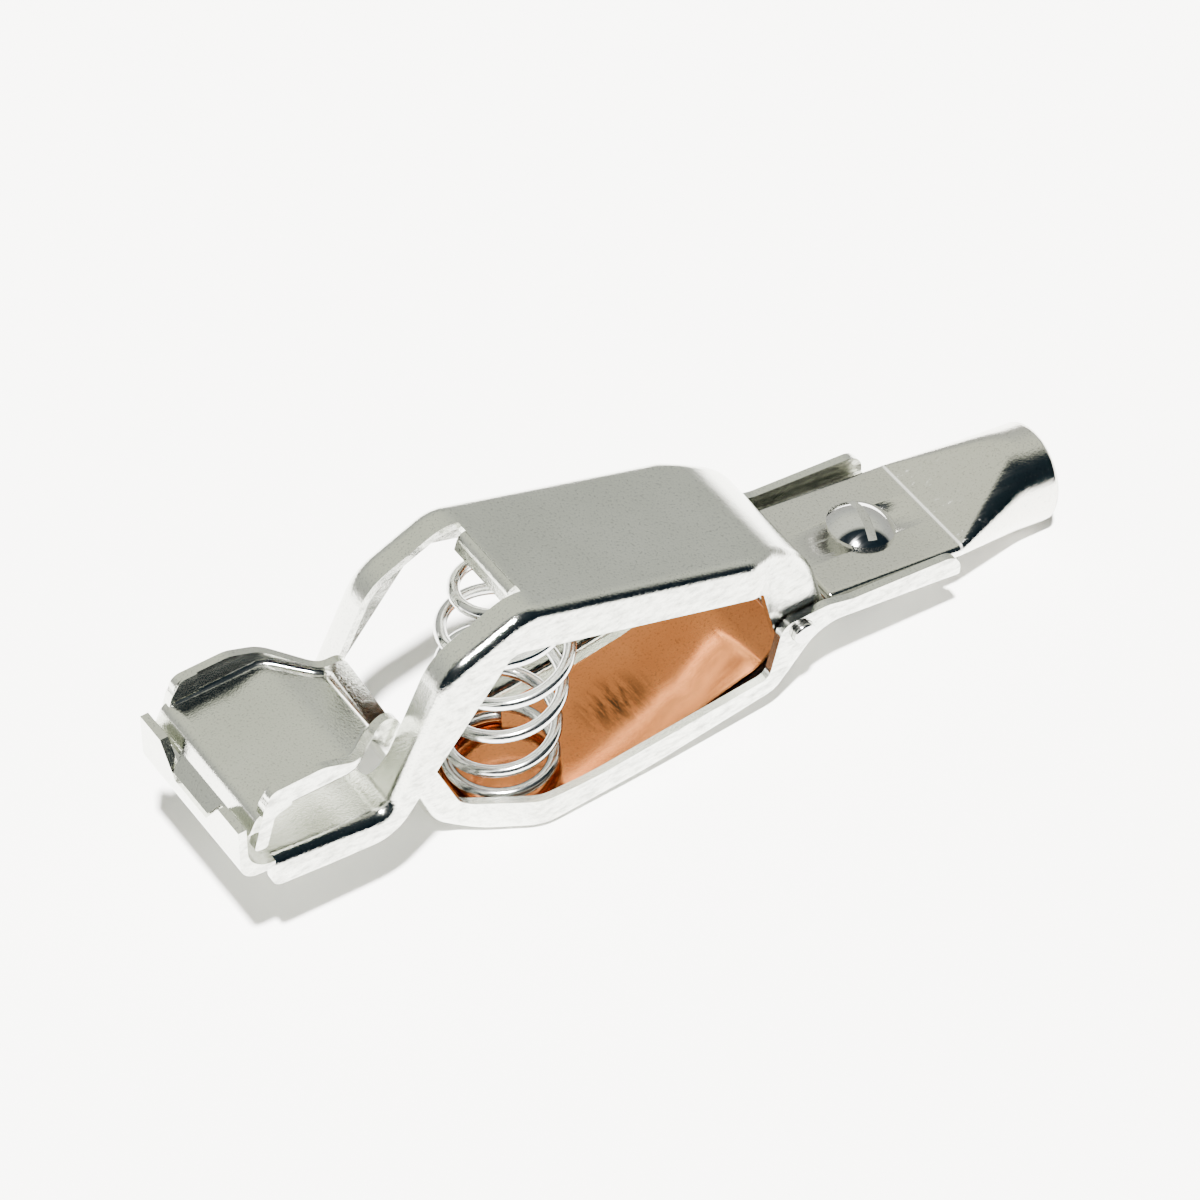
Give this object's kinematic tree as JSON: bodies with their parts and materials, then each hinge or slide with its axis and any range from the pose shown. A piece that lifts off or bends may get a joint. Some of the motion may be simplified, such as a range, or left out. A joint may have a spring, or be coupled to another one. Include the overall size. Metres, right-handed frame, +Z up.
{
  "type": "ground clamp",
  "caption": "Spring-loaded ground clamp for a welding return cable: two crossed stamped levers with a window, copper liner, coil spring and a screwed-on cable lug.",
  "frame": {"origin": "on the floor under the middle of the closed clamp, on its mid-plane", "axes": "+X along the clamp towards the cable lug, +Y across it along the pivot pin, +Z up from the bottom handle to the top handle"},
  "size_m": [0.1572, 0.0304, 0.0496],
  "materials": {
    "zinc_steel": "satin",
    "spring_steel": "polished",
    "pin_steel": "satin",
    "copper": "satin",
    "tinned_lug": "satin",
    "screw_plate": "polished"
  },
  "bodies": {
    "lower_body": {"lower_lever": "zinc_steel", "pivot_pin": "pin_steel", "copper_liner": "copper", "cable_lug": "tinned_lug", "terminal_screw": "screw_plate", "lock_washer": "pin_steel", "terminal_nut": "screw_plate", "coil_spring": "spring_steel"},
    "upper_body": {"upper_lever": "zinc_steel"}
  },
  "joints": [
    {"name": "jaw_hinge", "type": "hinge", "parent": "lower_body", "child": "upper_body", "pos_m": [0.0229, 0, 0.0163], "axis": [0, -1, 0], "range_deg": [0, 25], "stiffness_Nm_per_rad": 6, "springref_deg": -17.19, "deforming": ["coil_spring"]}
  ]
}
